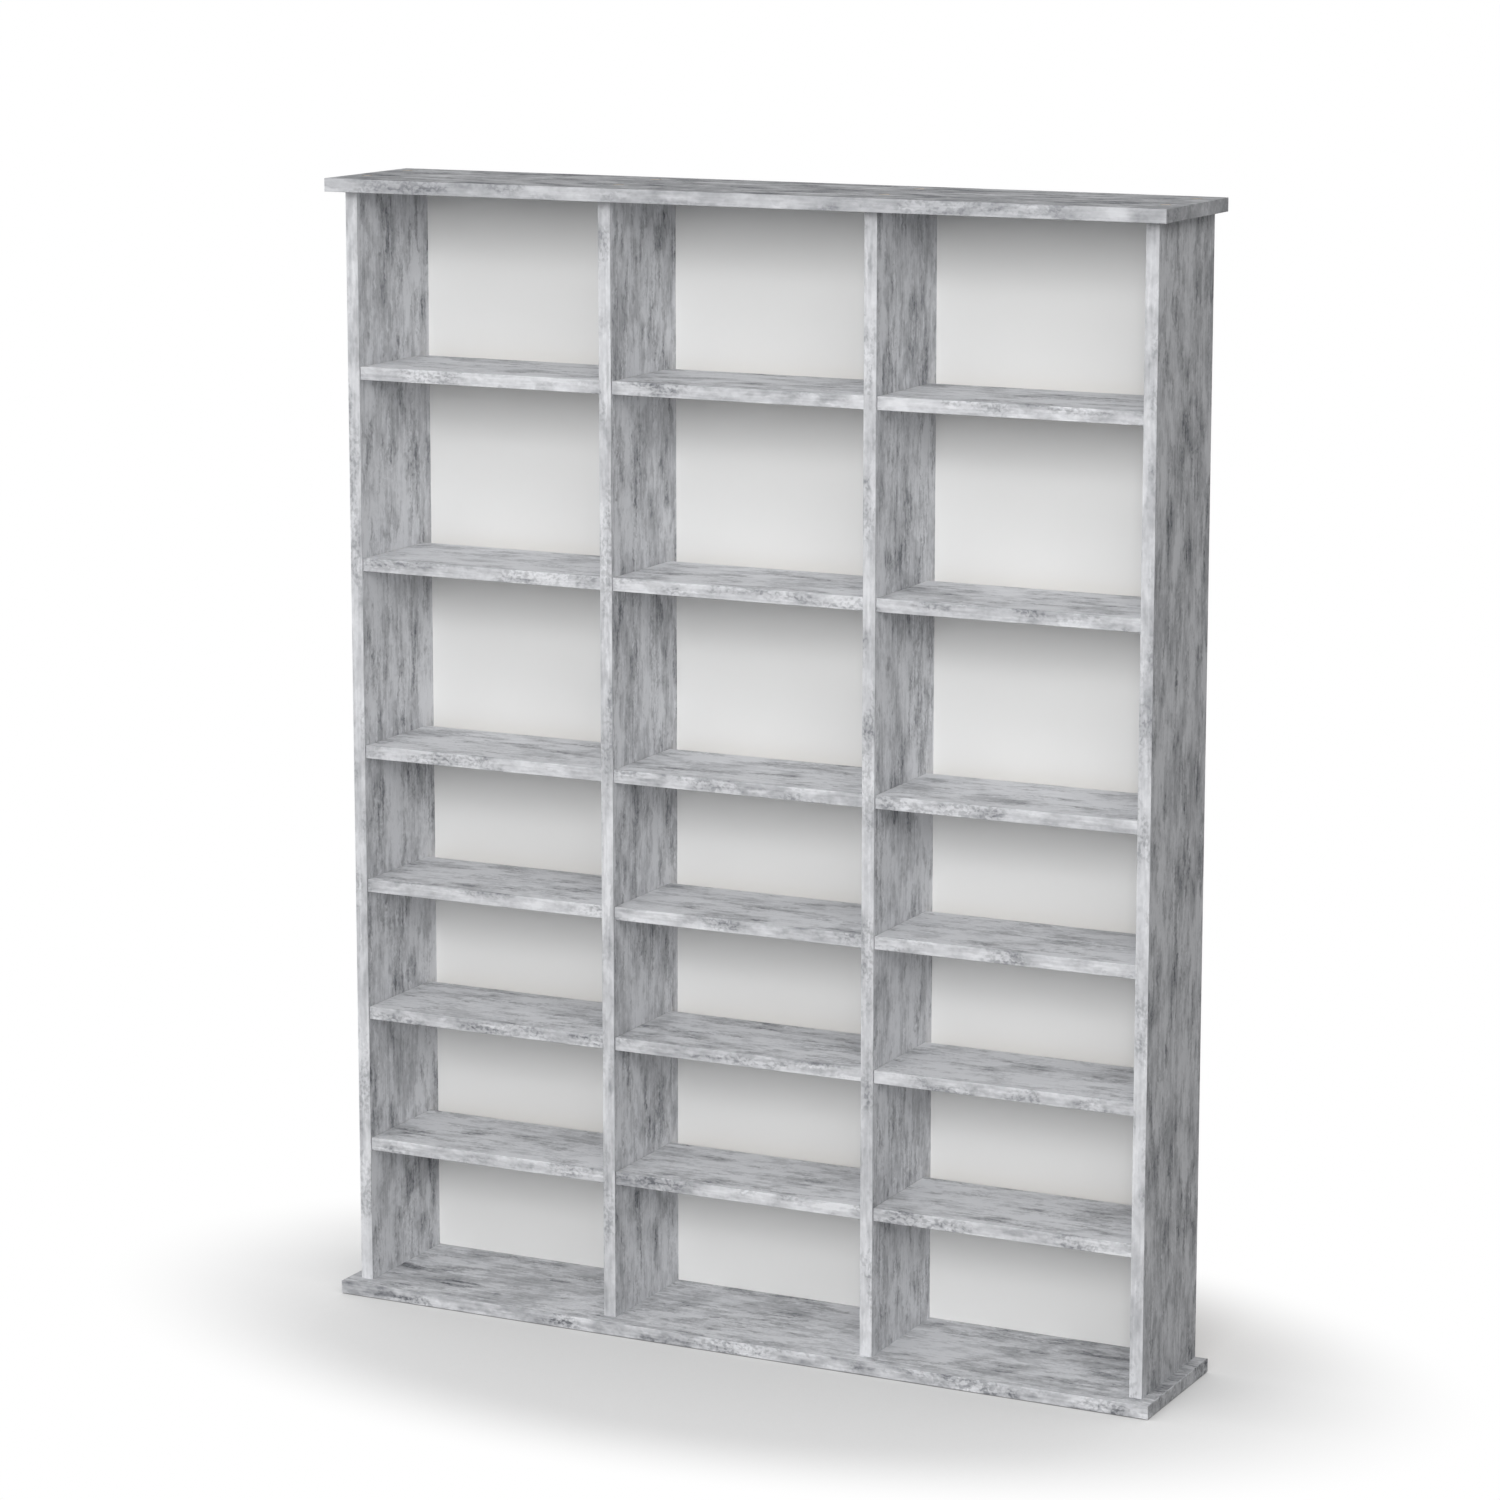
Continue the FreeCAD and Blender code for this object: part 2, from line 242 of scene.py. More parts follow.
def end_material(tree, base, roughness, height, relief, **surface):
    """The shader and its relief, whose height of 1 stands `relief` metres over a height of 0."""
    bump = add(tree, "ShaderNodeBump", {"Height": height, "Distance": relief, "Strength": 1.0})
    inputs = {"Base Color": base, "Roughness": roughness, "Normal": bump}
    for name, value in surface.items():
        inputs[name.replace("_", " ")] = value
    shader = add(tree, "ShaderNodeBsdfPrincipled", inputs)
    add(tree, "ShaderNodeOutputMaterial", {"Surface": shader})


def blots(tree, place, size, low, high, detail=1.5):
    """Blots of noise, so many millimetres long on each axis: 0 where the noise is under low, 1
    where it is over high, and smooth between."""
    inputs = {0: place, 1: [1 / extent for extent in size]}
    spread = add(tree, "ShaderNodeVectorMath", inputs, operation="MULTIPLY")
    inputs = {"Vector": spread, "Scale": 1.0, "Detail": detail, "Distortion": 0.2}
    noise = add(tree, "ShaderNodeTexNoise", inputs)
    inputs = {"Value": noise, "From Min": low, "From Max": high}
    return add(tree, "ShaderNodeMapRange", inputs, interpolation_type="SMOOTHSTEP")


class PrintLayer(NamedTuple):
    """Blots so wide across the grain and so long along it, in millimetres, that shift the
    print's tone by a share. Low and high bound their noise."""

    across: float
    along: float
    low: float
    high: float
    share: float


class PrintRun(NamedTuple):
    """One run of the print. Its tone goes from 0, dark, to 1, pale. Its contrast scales all
    layers, and its streaks and speckle scale those of the worn patches too. In millimetres, its
    raggedness is how far the blots' edges stray, and its offset gives boards that lie in one
    line other parts of the print."""

    tone: float
    contrast: float = 1.0
    streaks: float = 1.0
    speckle: float = 0.45
    raggedness: float = 8.0
    offset: tuple = (0, 0, 0)


# Bands, streaks and clouds, as much paler as darker than the run's tone
CLOUDS = (
    PrintLayer(across=50, along=150, low=0.32, high=0.68, share=0.24),
    PrintLayer(across=22, along=52, low=0.34, high=0.66, share=0.26),
    PrintLayer(across=9, along=26, low=0.34, high=0.66, share=0.14),
    PrintLayer(across=4.2, along=8, low=0.34, high=0.66, share=0.12),
)
# Fine straight streaks, as much paler as darker than the run's tone
FINE = PrintLayer(across=2.6, along=48, low=0.36, high=0.64, share=0.12)
# Sparse dark smudges and pale scrapes
MARKS = (
    PrintLayer(across=11, along=30, low=0.57, high=0.74, share=-0.24),
    PrintLayer(across=6, along=80, low=0.60, high=0.74, share=0.22),
)
# Worn patches, with dark streaks and specks in them
WORN = PrintLayer(across=26, along=80, low=0.46, high=0.62, share=1.0)
STREAKS = PrintLayer(across=6, along=44, low=0.42, high=0.62, share=-0.27)
SPECKS = PrintLayer(across=3.4, along=5, low=0.42, high=0.64, share=-0.30)
# White wash rubbed over the print
WASH = PrintLayer(across=16, along=60, low=0.54, high=0.74, share=0.35)

# Size of the noise that makes the blots' edges ragged, in millimetres, and its mean colour
RAGGED_SIZE = 7.0
NOISE_MEAN = (0.5, 0.5, 0.5)

# The pressed grain follows the finest streaks
GRAIN = PrintLayer(across=1.4, along=24, low=0.36, high=0.64, share=1.0)

FACE_RUN = PrintRun(tone=0.81, contrast=1.15)
# The right side panel's print is painted darker than the other uprights', as shade on the outer right
# side, which gets little light
RIGHT_SIDE_PAINTED_SHADE_RUN = FACE_RUN._replace(tone=0.77, offset=(0, 60, 90))
BASE_RUN = FACE_RUN._replace(tone=0.78, offset=(250, 0, 0))
# The top board's print is painted much darker than the other boards', as shade on a face that gets
# little light from above
TOP_PAINTED_SHADE_RUN = FACE_RUN._replace(tone=0.54)
SHELF_RUN = FACE_RUN._replace(tone=0.90)
BAND_RUN = PrintRun(tone=0.72, streaks=0.4, speckle=1.1, raggedness=4.0)
UPRIGHT_BAND_RUN = BAND_RUN._replace(tone=0.73, contrast=0.8, offset=(30, 25, 400))
SHELF_BAND_RUN = BAND_RUN._replace(offset=(30, 25, 400))
BASE_BAND_RUN = BAND_RUN._replace(tone=0.69, contrast=1.2)
TOP_BAND_RUN = BAND_RUN._replace(tone=0.58, contrast=0.65)

# Each column's shelves show another part of the print
COLUMN_OFFSETS = ((0, 0, 0), (700, 40, 60), (1500, 90, 130))


def layer_blots(tree, place, grain, layer):
    """The blots of a layer, long on the grain's axis."""
    size = [layer.along if axis == grain else layer.across for axis in (X, Y, Z)]
    return blots(tree, place, size, layer.low, layer.high)


def places_on_print(tree, place, run):
    """The place on a run of the print, and that place shifted to and fro by a fine noise, which
    gives the blots that are made there ragged edges."""
    straight = add(tree, "ShaderNodeVectorMath", {0: place, 1: run.offset}, operation="ADD")
    inputs = {"Vector": straight, "Scale": 1 / RAGGED_SIZE, "Detail": 2.0}
    noise = add(tree, "ShaderNodeTexNoise", inputs)
    inputs = {0: noise.outputs["Color"], 1: NOISE_MEAN}
    shift = add(tree, "ShaderNodeVectorMath", inputs, operation="SUBTRACT")
    inputs = {0: shift, 1: (run.raggedness,) * 3, 2: straight}
    return straight, add(tree, "ShaderNodeVectorMath", inputs, operation="MULTIPLY_ADD")


def printed_colour(tree, straight, place, grain, run):
    """The weathered print: fine straight streaks, clouds along the grain, smudges and scrapes,
    worn patches with dark streaks and specks, and white wash rubbed on top."""
    decor = bpy.context.scene.rack_decor
    fine = layer_blots(tree, straight, grain, FINE)
    shares = FINE.share + sum(layer.share for layer in CLOUDS)
    inputs = {0: fine, 1: FINE.share * run.contrast, 2: run.tone - run.contrast * shares / 2}
    tone = add(tree, "ShaderNodeMath", inputs, operation="MULTIPLY_ADD")
    for layer in CLOUDS + MARKS:
        blot = layer_blots(tree, place, grain, layer)
        inputs = {0: blot, 1: layer.share * run.contrast, 2: tone}
        tone = add(tree, "ShaderNodeMath", inputs, operation="MULTIPLY_ADD")
    worn = layer_blots(tree, place, grain, WORN)
    for layer, scale in ((STREAKS, run.streaks), (SPECKS, run.speckle)):
        blot = layer_blots(tree, place, grain, layer)
        mark = add(tree, "ShaderNodeMath", {0: worn, 1: blot}, operation="MULTIPLY")
        inputs = {0: mark, 1: layer.share * run.contrast * scale, 2: tone}
        tone = add(tree, "ShaderNodeMath", inputs, operation="MULTIPLY_ADD", use_clamp=True)
    inputs = {"Factor": tone, "A": decor.dark, "B": decor.pale}
    print_only = add(tree, "ShaderNodeMix", inputs, data_type="RGBA")
    wash = layer_blots(tree, place, grain, WASH)
    share = add(tree, "ShaderNodeMath", {0: wash, 1: WASH.share}, operation="MULTIPLY")
    inputs = {"Factor": share, "A": print_only, "B": decor.wash}
    return add(tree, "ShaderNodeMix", inputs, data_type="RGBA")


# Size of a chip of raw chipboard across the board and in its plane, in millimetres
CHIP_THICKNESS = 1.1
CHIP_WIDTH = 3.4


def raw_chipboard(tree, place, thickness):
    """Cut chipboard: flat chips that lie in the board's plane. The middle layer's chips are a few
    millimetres long, and the finer ones of the outer layers are drawn as large, so that they show."""
    finishes = bpy.context.scene.rack_finishes
    size = [CHIP_THICKNESS if axis == thickness else CHIP_WIDTH for axis in (X, Y, Z)]
    inputs = {0: place, 1: [1 / extent for extent in size]}
    spread = add(tree, "ShaderNodeVectorMath", inputs, operation="MULTIPLY")
    chips = add(tree, "ShaderNodeTexVoronoi", {"Vector": spread, "Scale": 1.0})
    tint = add(tree, "ShaderNodeSeparateColor", {0: chips.outputs["Color"]})
    inputs = {"Factor": tint, "A": finishes.chip_dark, "B": finishes.chip}
    return add(tree, "ShaderNodeMix", inputs, data_type="RGBA")


def faced_board(name, grain, thickness, run):
    """Melamine-faced chipboard with a weathered print along the grain axis. The pressed paper is
    matt with a shallow grain, and cut faces show the raw chips."""
    decor = bpy.context.scene.rack_decor
    material, tree, place = start_material(name)
    straight, ragged = places_on_print(tree, place, run)
    printed = printed_colour(tree, straight, ragged, grain, run)
    turned = add(tree, "ShaderNodeMath", {0: facing(tree, thickness)}, operation="ABSOLUTE")
    is_face = add(tree, "ShaderNodeMath", {0: turned, 1: SQUARE_ON}, operation="GREATER_THAN")
    inputs = {"Factor": is_face, "A": raw_chipboard(tree, place, thickness), "B": printed}
    base = add(tree, "ShaderNodeMix", inputs, data_type="RGBA")
    inputs = {"Value": is_face, "To Min": 0.9, "To Max": 0.8}
    roughness = add(tree, "ShaderNodeMapRange", inputs)
    pressed = layer_blots(tree, straight, grain, GRAIN)
    end_material(tree, base, roughness, pressed, decor.grain_relief, Specular_IOR_Level=0.15)
    return material


def edge_band(name, grain, run):
    """ABS edge band with the boards' print, nearly as matt as the faces, and a trace smoother in
    the hollows of its grain."""
    decor = bpy.context.scene.rack_decor
    material, tree, place = start_material(name)
    straight, ragged = places_on_print(tree, place, run)
    base = printed_colour(tree, straight, ragged, grain, run)
    pressed = layer_blots(tree, straight, grain, GRAIN)
    inputs = {"Value": pressed, "To Min": 0.72, "To Max": 0.82}
    roughness = add(tree, "ShaderNodeMapRange", inputs)
    end_material(tree, base, roughness, pressed, decor.grain_relief, Specular_IOR_Level=0.15)
    return material


# How pale raw fibreboard is, from 0 to 1: at least the start, and more by its fibres and clouds
FIBRE_START = 0.2
FIBRE_SHARE = 0.6
FIBRE_CLOUD_SHARE = 0.2


def lacquered_fibreboard():
    """Thin hard fibreboard: white lacquer rolled on the front, which leaves a faint orange peel,
    and bare brown fibres on the rear."""
    finishes = bpy.context.scene.rack_finishes
    material, tree, place = start_material("white_lacquered_fibreboard")
    inputs = {0: facing(tree, Y), 1: -SQUARE_ON}
    is_front = add(tree, "ShaderNodeMath", inputs, operation="LESS_THAN")
    fibres = blots(tree, place, size=(1.1, 1.1, 1.1), low=0.3, high=0.7, detail=5.0)
    clouds = blots(tree, place, size=(60.0, 60.0, 60.0), low=0.2, high=0.8, detail=2.0)
    inputs = {0: fibres, 1: FIBRE_SHARE, 2: FIBRE_START}
    shade = add(tree, "ShaderNodeMath", inputs, operation="MULTIPLY_ADD")
    inputs = {0: clouds, 1: FIBRE_CLOUD_SHARE, 2: shade}
    shade = add(tree, "ShaderNodeMath", inputs, operation="MULTIPLY_ADD")
    inputs = {"Factor": shade, "A": finishes.fibre_dark, "B": finishes.fibre}
    raw = add(tree, "ShaderNodeMix", inputs, data_type="RGBA")
    inputs = {"Factor": is_front, "A": raw, "B": finishes.lacquer}
    base = add(tree, "ShaderNodeMix", inputs, data_type="RGBA")
    inputs = {"Value": is_front, "To Min": 0.8, "To Max": 0.5}
    roughness = add(tree, "ShaderNodeMapRange", inputs)
    peel = blots(tree, place, size=(2.6, 2.6, 2.6), low=0.2, high=0.8, detail=2.0)
    end_material(tree, base, roughness, peel, relief=0.02 * MM, Specular_IOR_Level=0.4)
    return material


def zinc_plated_steel():
    """Zinc-plated steel: bluish grey and slightly cloudy, duller where the plating is thicker."""
    finishes = bpy.context.scene.rack_finishes
    material, tree, place = start_material("zinc_plated_steel")
    cloud = blots(tree, place, size=(1.6, 1.6, 1.6), low=0.38, high=0.62)
    inputs = {"Factor": cloud, "A": finishes.zinc_dull, "B": finishes.zinc}
    base = add(tree, "ShaderNodeMix", inputs, data_type="RGBA")
    roughness = add(tree, "ShaderNodeMapRange", {"Value": cloud, "To Min": 0.42, "To Max": 0.26})
    fine = blots(tree, place, size=(0.25, 0.25, 0.25), low=0.2, high=0.8, detail=2.0)
    end_material(tree, base, roughness, fine, relief=0.004 * MM, Metallic=1.0)
    return material


def turned_beech():
    """Turned beech: warm, with short dark rays along the dowel and open end grain."""
    finishes = bpy.context.scene.rack_finishes
    material, tree, place = start_material("turned_beech")
    rays = blots(tree, place, size=(0.5, 0.5, 3.0), low=0.5, high=0.68)
    inputs = {"Factor": rays, "A": finishes.beech, "B": finishes.beech_ray}
    base = add(tree, "ShaderNodeMix", inputs, data_type="RGBA")
    end_material(tree, base, roughness=0.62, height=rays, relief=0.03 * MM, IOR=1.5)
    return material


def moulded_polyethylene():
    """Moulded polyethylene: matt and waxy, with the mould's fine spark texture."""
    finishes = bpy.context.scene.rack_finishes
    material, tree, place = start_material("moulded_polyethylene")
    spark = blots(tree, place, size=(0.35, 0.35, 0.35), low=0.3, high=0.7)
    inputs = {"Factor": spark, "A": finishes.cap_shade, "B": finishes.cap}
    base = add(tree, "ShaderNodeMix", inputs, data_type="RGBA")
    end_material(tree, base, roughness=0.46, height=spark, relief=0.02 * MM, IOR=1.5)
    return material


def put_on(node_names, material):
    """Gives CAD nodes their finish and leaves their meshes as they are."""
    for name in node_names:
        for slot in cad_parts[name].material_slots:
            slot.link = "OBJECT"
            slot.material = material


# Surfaces


def turned_skin(profile, sides):
    """A closed skin about Z. The point of a profile row (radius, height) at the angle a lies at
    radius cos a, radius sin a, height. A radius is one number or one for each side. The rows
    run anticlockwise round the solid, so the faces point outwards, and the first and last row
    are drawn together in a pole at their middle."""
    angle = 2 * np.pi * np.arange(sides) / sides
    radius = np.stack([np.broadcast_to(row[0], sides) for row in profile])
    height = np.broadcast_to([[row[1]] for row in profile], radius.shape)
    rings = np.stack([radius * np.cos(angle), radius * np.sin(angle), height], axis=-1)
    poles = rings[[0, -1]].mean(axis=1)
    index = np.arange(radius.size).reshape(radius.shape) + len(poles)
    after = np.roll(index, -1, axis=1)
    quads = np.stack([index[:-1], after[:-1], after[1:], index[1:]], axis=-1).reshape(-1, 4)
    first = np.stack([np.zeros(sides, int), after[0], index[0]], axis=-1)
    last = np.stack([np.ones(sides, int), index[-1], after[-1]], axis=-1)
    vertices = np.concatenate([poles, rings.reshape(-1, 3)])
    return vertices, quads, np.concatenate([first, last])


def copies(skin, places, turn):
    """A copy of a skin at each place, all turned by one rotation matrix first."""
    vertices, quads, triangles = skin
    vertices = vertices @ np.array(turn, float).T
    places = np.array(places, float)
    step = len(vertices) * np.arange(len(places))[:, None, None]
    all_vertices = (places[:, None] + vertices).reshape(-1, 3)
    return all_vertices, (quads + step).reshape(-1, 4), (triangles + step).reshape(-1, 3)


# Rotation matrices, as rows, for skins made with their start down at height zero
UPRIGHT = ((1, 0, 0), (0, 1, 0), (0, 0, 1))
UPSIDE_DOWN = ((1, 0, 0), (0, -1, 0), (0, 0, -1))
ALONG_X = ((0, 0, 1), (1, 0, 0), (0, 1, 0))
FROM_REAR = ((1, 0, 0), (0, 0, -1), (0, 1, 0))

SHARP_ANGLE = math.radians(35)


def add_piece(name, skin, node, material):
    """A piece that stands for a CAD node of the carcass."""
    vertices, quads, triangles = skin
    mesh = bpy.data.meshes.new(name)
    mesh.from_pydata(vertices.tolist(), [], quads.tolist() + triangles.tolist())
    mesh.shade_smooth()
    mesh.set_sharp_from_angle(angle=SHARP_ANGLE)
    mesh.materials.append(material)
    piece = bpy.data.objects.new(name, mesh)
    bpy.context.scene.collection.objects.link(piece)
    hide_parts(node)
    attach(piece, CARCASS)


def rounded_end(radius, rounding, steps=5):
    """Profile rows of a rod's rounded lower end: radius - rounding (1 - sin a) at the height
    rounding (1 - cos a), for a from 0 to 90 degrees."""
    angle = np.linspace(0, np.pi / 2, steps)
    return list(zip(radius - rounding * (1 - np.sin(angle)), rounding * (1 - np.cos(angle))))


# How finely a shelf pin's and a dowel's roundness is drawn
PIN_SIDES = 24
SIDES_PER_FLUTE = 6


def pin_skin(fittings):
    """A rod with both ends rounded."""
    end = rounded_end(fittings.pin_diameter / 2, fittings.pin_rounding)
    other_end = [(radius, fittings.pin_length - height) for radius, height in reversed(end)]
    return turned_skin(end + other_end, PIN_SIDES)


def dowel_skin(fittings, radius):
    """A rod whose chamfered ends cut its flutes: at the angle a the flutes leave a radius of
    radius - depth max(0, cos(count a))^4."""
    sides = SIDES_PER_FLUTE * fittings.flute_count
    angle = 2 * np.pi * np.arange(sides) / sides
    groove = np.maximum(0, np.cos(fittings.flute_count * angle)) ** 4
    fluted = radius - fittings.flute_depth * groove
    chamfer = fittings.dowel_chamfer
    end = []
    for height in (0, chamfer - fittings.flute_depth, chamfer):
        end.append((np.minimum(fluted, radius - chamfer + height), height))
    other_end = [(row, fittings.dowel_length - height) for row, height in reversed(end)]
    return turned_skin(end + other_end, sides)


ROWS_PER_PITCH = 12
SCREW_SIDES = 24
# Half the width of a thread's ridge and the width of its flank, as shares of a turn
RIDGE_HALF = 0.22
RIDGE_FLANK = 0.16


def screw_skin(fittings, screw_length):
    """A connector screw, head first. The hex socket's radius at the angle a is half its width
    over cos(((a + 30) mod 60) - 30), in degrees. The thread's radius goes from core to crest
    by a ridge that depends on the turn, height / pitch - a / 360, and runs out at both ends."""
    angle = 2 * np.pi * np.arange(SCREW_SIDES) / SCREW_SIDES
    sixth = np.pi / 3
    socket = fittings.socket_width / 2 / np.cos((angle + sixth / 2) % sixth - sixth / 2)
    edge = fittings.screw_edge
    head = fittings.screw_head / 2
    neck = fittings.screw_neck / 2
    core = fittings.thread_core / 2
    crest = fittings.thread_crest / 2
    cone_end = fittings.screw_rim + fittings.screw_cone
    neck_end = cone_end + fittings.screw_neck_length
    taper_start = screw_length - fittings.tip_length
    profile = [
        (edge, fittings.socket_depth + edge),
        (socket, fittings.socket_depth),
        (socket, edge),
        (socket + edge, 0),
        (head - edge, 0),
        (head, edge),
        (head, fittings.screw_rim),
        (neck, cone_end),
        (neck, neck_end),
    ]
    pitch = fittings.thread_pitch
    heights = np.arange(neck_end + neck - core, taper_start, pitch / ROWS_PER_PITCH)[:, None]
    turn = (heights / pitch - angle / (2 * np.pi)) % 1
    ridge = np.clip((RIDGE_HALF - abs(turn - 0.5)) / RIDGE_FLANK, 0, 1)
    run_out = np.clip(np.minimum(heights - neck_end, taper_start - heights) / pitch, 0, 1)
    profile += zip(core + (crest - core) * ridge * run_out, heights[:, 0])
    profile += [(core, taper_start), (fittings.screw_tip / 2, screw_length)]
    return turned_skin(profile, SCREW_SIDES)


CAP_SIDES = 48
# Rings of a cap's face, as shares of its radius
CROWN_RINGS = (0.9, 0.7, 0.5, 0.3, 0.1)


def cap_skin(fittings, depth):
    """A cap with its face up at height zero. The stem is a cross: its radius at the angle a is
    half its diameter times 0.4 + 0.6 cos(2 a)^4. The face falls off as a parabola."""
    angle = 2 * np.pi * np.arange(CAP_SIDES) / CAP_SIDES
    stem = fittings.cap_stem / 2 * (0.4 + 0.6 * np.cos(2 * angle) ** 4)
    rounding = fittings.cap_rounding
    rim = fittings.cap_diameter / 2
    crown = fittings.cap_crown
    underside = -fittings.cap_thickness
    profile = [(stem - rounding, -depth), (stem, rounding - depth), (stem, underside)]
    profile += [(rim - rounding / 2, underside), (rim, underside + rounding / 2)]
    profile += [(radius, -crown - height) for radius, height in reversed(rounded_end(rim, rounding))]
    for share in CROWN_RINGS:
        profile.append((share * (rim - rounding), -crown * share**2))
    return turned_skin(profile, CAP_SIDES)


NAIL_SIDES = 16
# Rows of a nail's point: how far along it they lie and how wide it is there, as shares
POINT_ROWS = ((0.25, 0.66), (1.0, 0.06))


def nail_skin(fittings, nail_length):
    """A nail, head first, with grip marks below the head and a four-sided point, whose radius
    at the angle a is a share of the shank's over max(|cos a|, |sin a|)."""
    angle = 2 * np.pi * np.arange(NAIL_SIDES) / NAIL_SIDES
    square = 1 / np.maximum(abs(np.cos(angle)), abs(np.sin(angle)))
    head = fittings.nail_head / 2
    shank = fittings.nail_shank / 2
    edge = fittings.nail_edge
    depth = fittings.grip_depth
    profile = [(head - edge, 0), (head, edge), (head, fittings.nail_head_height)]
    profile.append((shank, fittings.nail_head_height + depth))
    for mark in range(1, fittings.grip_count + 1):
        height = fittings.nail_head_height + mark * fittings.grip_pitch
        profile += [(shank, height), (shank - depth, height + depth), (shank, height + 2 * depth)]
    point_start = nail_length - fittings.nail_point
    profile.append((shank, point_start))
    for share, width in POINT_ROWS:
        profile.append((width * shank * square, point_start + share * fittings.nail_point))
    return turned_skin(profile, NAIL_SIDES)


def upright_centres():
    """The middles of the uprights along X."""
    boxes = [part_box(name) for name in UPRIGHTS]
    return [(low[X] + high[X]) / 2 for low, high in boxes]


# Operators


class RackOperator:
    """What all the operators below share."""

    bl_options = {"REGISTER", "UNDO"}


class RACK_OT_base_and_top(RackOperator, bpy.types.Operator):
    """Print along the base board and the top board, the top board's print painted darker as shade"""

    bl_idname = "rack.base_and_top"
    bl_label = "Base and top board"

    def execute(self, context):
        put_on(["base_board"], faced_board("melamine_faced_chipboard_base", X, Z, BASE_RUN))
        # The top board's print is painted darker, as shade
        put_on(["top_board"], faced_board("melamine_faced_chipboard_top_painted_shade", X, Z, TOP_PAINTED_SHADE_RUN))
        put_on(["base_board_edge_bands"], edge_band("abs_edge_band_base", X, BASE_BAND_RUN))
        put_on(["top_board_edge_bands"], edge_band("abs_edge_band_top", X, TOP_BAND_RUN))
        return {"FINISHED"}


class RACK_OT_uprights(RackOperator, bpy.types.Operator):
    """Print up the side panels and the dividers, the right side panel's print painted darker as shade
    """

    bl_idname = "rack.uprights"
    bl_label = "Uprights"

    def execute(self, context):
        put_on(UPRIGHTS[:-1], faced_board("melamine_faced_chipboard_upright", Z, X, FACE_RUN))
        # The right side panel gets a darker copy of the print, painted shade
        right = faced_board("melamine_faced_chipboard_right_side_painted_shade", Z, X, RIGHT_SIDE_PAINTED_SHADE_RUN)
        put_on(UPRIGHTS[-1:], right)
        band = edge_band("abs_edge_band_upright", Z, UPRIGHT_BAND_RUN)
        put_on([name + "_edge_band" for name in UPRIGHTS], band)
        return {"FINISHED"}


class RACK_OT_shelves(RackOperator, bpy.types.Operator):
    """Print along the shelves, another stretch of it in each column"""

    bl_idname = "rack.shelves"
    bl_label = "Shelves"

    def execute(self, context):
        for column, names, offset in zip(COLUMNS, SHELVES, COLUMN_OFFSETS):
            board_name = f"melamine_faced_chipboard_shelf_{column}"
            put_on(names, faced_board(board_name, X, Z, SHELF_RUN._replace(offset=offset)))
            run = SHELF_BAND_RUN._replace(offset=offset)
            band = edge_band(f"abs_edge_band_shelf_{column}", X, run)
            put_on([name + "_edge_band" for name in names], band)
        return {"FINISHED"}


class RACK_OT_back_sheets(RackOperator, bpy.types.Operator):
    """White lacquer in front of the back sheets and raw fibres behind"""

    bl_idname = "rack.back_sheets"
    bl_label = "Back sheets"

    def execute(self, context):
        put_on(BACK_SHEETS, lacquered_fibreboard())
        return {"FINISHED"}


class RACK_OT_shelf_pins(RackOperator, bpy.types.Operator):
    """Turned shelf pins with rounded ends, four under each shelf"""

    bl_idname = "rack.shelf_pins"
    bl_label = "Shelf pins"

    def execute(self, context):
        fittings = context.scene.rack_fittings
        low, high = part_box("shelf_pins")
        radius = fittings.pin_diameter / 2
        walls = [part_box(name) for name in UPRIGHTS]
        depth_in_board = walls[0][1][X] - low[X]
        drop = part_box(SHELVES[0][0])[0][Z] - low[Z] - radius
        rows = (low[Y] + radius, high[Y] - radius)
        places = []
        for column, names in enumerate(SHELVES):
            left = walls[column][1][X] - depth_in_board
            right = walls[column + 1][0][X] + depth_in_board - fittings.pin_length
            for name in names:
                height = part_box(name)[0][Z] - drop
                places += [(x, y, height) for x in (left, right) for y in rows]
        skin = copies(pin_skin(fittings), places, ALONG_X)
        add_piece("turned_shelf_pins", skin, "shelf_pins", zinc_plated_steel())
        return {"FINISHED"}


class RACK_OT_dowels(RackOperator, bpy.types.Operator):
    """Fluted dowels between the uprights and the base and top boards"""

    bl_idname = "rack.dowels"
    bl_label = "Dowels"

    def execute(self, context):
        fittings = context.scene.rack_fittings
        low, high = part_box("wooden_dowels")
        middle = (low[Y] + high[Y]) / 2
        starts = (low[Z], high[Z] - fittings.dowel_length)
        places = [(x, middle, start) for x in upright_centres() for start in starts]
        skin = copies(dowel_skin(fittings, (high[Y] - low[Y]) / 2), places, UPRIGHT)
        add_piece("fluted_dowels", skin, "wooden_dowels", turned_beech())
        return {"FINISHED"}


class RACK_OT_screws(RackOperator, bpy.types.Operator):
    """Connector screws with rolled threads and hex sockets"""

    bl_idname = "rack.screws"
    bl_label = "Connector screws"

    def execute(self, context):
        fittings = context.scene.rack_fittings
        zinc = zinc_plated_steel()
        head = fittings.screw_head / 2
        for name, turn in (("base_board_screws", UPRIGHT), ("top_board_screws", UPSIDE_DOWN)):
            low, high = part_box(name)
            face = low[Z] if turn is UPRIGHT else high[Z]
            rows = (low[Y] + head, high[Y] - head)
            places = [(x, y, face) for x in upright_centres() for y in rows]
            skin = copies(screw_skin(fittings, high[Z] - low[Z]), places, turn)
            add_piece("threaded_" + name, skin, name, zinc)
        return {"FINISHED"}


class RACK_OT_cover_caps(RackOperator, bpy.types.Operator):
    """Moulded caps over the screws in the top board"""

    bl_idname = "rack.cover_caps"
    bl_label = "Cover caps"

    def execute(self, context):
        fittings = context.scene.rack_fittings
        low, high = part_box("screw_cover_caps")
        rim = fittings.cap_diameter / 2
        places = [(x, y, high[Z]) for x in upright_centres() for y in (low[Y] + rim, high[Y] - rim)]
        skin = copies(cap_skin(fittings, high[Z] - low[Z]), places, UPRIGHT)
        add_piece("moulded_caps", skin, "screw_cover_caps", moulded_polyethylene())
        return {"FINISHED"}


